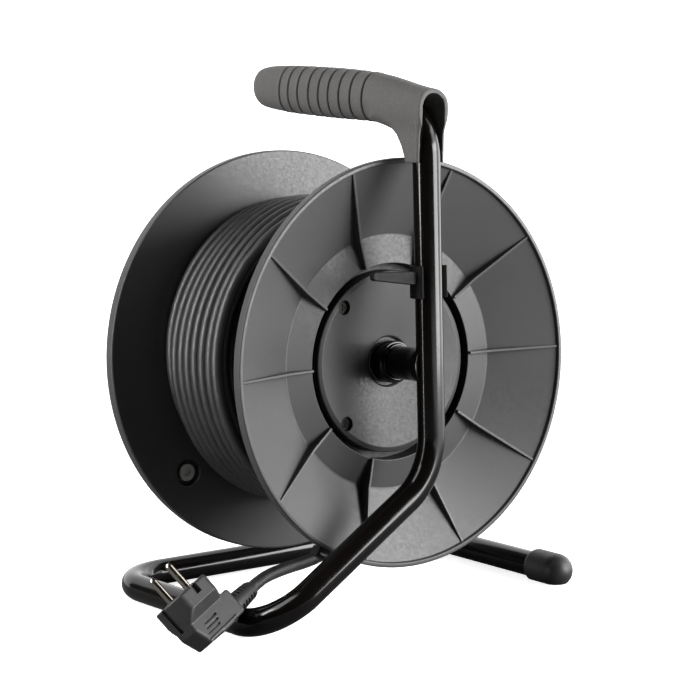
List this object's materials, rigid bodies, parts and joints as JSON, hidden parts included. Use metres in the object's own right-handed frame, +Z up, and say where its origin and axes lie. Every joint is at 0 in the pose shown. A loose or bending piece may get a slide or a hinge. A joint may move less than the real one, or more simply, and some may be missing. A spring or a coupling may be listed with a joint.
{
  "type": "extension cord reel",
  "caption": "Cord reel with a two-flange drum on a bent tube stand, carrying grip, crank knob, lidded outlets and an angled earthed plug.",
  "frame": {"origin": "middle of the footprint on the floor", "axes": "+Z up; +Y along the drum axis, from the upright towards the outlets and crank; +X to the right seen from the upright's side"},
  "size_m": [0.338, 0.2173, 0.3662],
  "materials": {
    "frame_paint": "gloss black coat",
    "bright_steel": "zinc plated",
    "dark_steel": "blackened",
    "grip_rubber": "fine matt grain",
    "cap_rubber": "satin",
    "lever_plastic": "satin",
    "flange_plastic": "satin moulded",
    "hub_plastic": "satin moulded",
    "inner_plastic": "matt",
    "bush_plastic": "natural",
    "panel_plastic": "satin",
    "outlet_plastic": "satin",
    "contact_metal": "plated",
    "lid_plastic": "satin",
    "button_plastic": "gloss",
    "terminal_plastic": "satin",
    "knob_plastic": "satin",
    "cord_rubber": "satin",
    "plug_rubber": "matt",
    "pin_metal": "nickel plated"
  },
  "bodies": {
    "frame": {"frame_tube": "frame_paint", "axle": "frame_paint", "axle_weld": "frame_paint", "axle_ring": "frame_paint", "axle_washer": "bright_steel", "axle_nut": "bright_steel", "handle_grip": "grip_rubber", "foot_cap": "cap_rubber", "cable_tail": "cord_rubber", "plug_relief": "plug_rubber", "plug_body": "plug_rubber", "plug_pins": "pin_metal"},
    "drum": {"near_flange": "flange_plastic", "cable_hook": "lever_plastic", "hub_cover": "hub_plastic", "hub_screws": "dark_steel", "barrel": "inner_plastic", "far_flange": "flange_plastic", "bush_near": "bush_plastic", "bush_far": "bush_plastic", "socket_panel": "panel_plastic", "centre_cap": "panel_plastic", "panel_screws": "bright_steel", "socket_1": "outlet_plastic", "socket_2": "outlet_plastic", "socket_3": "outlet_plastic", "socket_4": "outlet_plastic", "earth_clips": "contact_metal", "lid_pins": "bright_steel", "cutout_body": "inner_plastic", "terminal_block": "terminal_plastic", "cable_clamp": "inner_plastic", "knob_bolt": "bright_steel", "knob_locknut": "bright_steel", "knob_endnut": "bright_steel", "cable_winding": "cord_rubber", "inner_lead": "cord_rubber"},
    "lock_lever": {"lock_lever": "lever_plastic"},
    "crank_knob": {"crank_knob": "knob_plastic"},
    "cutout_button": {"cutout_button": "button_plastic"},
    "lid_1": {"lid_1": "lid_plastic"},
    "lid_2": {"lid_2": "lid_plastic"},
    "lid_3": {"lid_3": "lid_plastic"},
    "lid_4": {"lid_4": "lid_plastic"}
  },
  "joints": [
    {"name": "drum_spin", "type": "hinge", "parent": "frame", "child": "drum", "pos_m": [0, -0.003, 0.163], "axis": [0, 1, 0], "continuous": true},
    {"name": "knob_spin", "type": "hinge", "parent": "drum", "child": "crank_knob", "pos_m": [-0.086, 0.093, 0.0836], "axis": [0, 1, 0], "continuous": true},
    {"name": "button_press", "type": "slide", "parent": "drum", "child": "cutout_button", "axis": [0, -1, 0], "range_m": [0, 0.0022], "stiffness_N_per_m": 300, "springref_m": -0.001},
    {"name": "lever_swing", "type": "hinge", "parent": "frame", "child": "lock_lever", "pos_m": [0, -0.0983, 0.2175], "axis": [0, 0, -1], "range_deg": [0, 46]},
    {"name": "lid_1_hinge", "type": "hinge", "parent": "drum", "child": "lid_1", "pos_m": [0.05374, 0.076, 0.21674], "axis": [0.7071, 0, -0.7071], "range_deg": [0, 100], "stiffness_Nm_per_rad": 0.02, "springref_deg": -34.38},
    {"name": "lid_2_hinge", "type": "hinge", "parent": "drum", "child": "lid_2", "pos_m": [-0.05374, 0.076, 0.21674], "axis": [0.7071, 0, 0.7071], "range_deg": [0, 100], "stiffness_Nm_per_rad": 0.02, "springref_deg": -34.38},
    {"name": "lid_3_hinge", "type": "hinge", "parent": "drum", "child": "lid_3", "pos_m": [-0.05374, 0.076, 0.10926], "axis": [-0.7071, 0, 0.7071], "range_deg": [0, 100], "stiffness_Nm_per_rad": 0.02, "springref_deg": -34.38},
    {"name": "lid_4_hinge", "type": "hinge", "parent": "drum", "child": "lid_4", "pos_m": [0.05374, 0.076, 0.10926], "axis": [-0.7071, 0, -0.7071], "range_deg": [0, 100], "stiffness_Nm_per_rad": 0.02, "springref_deg": -34.38}
  ]
}
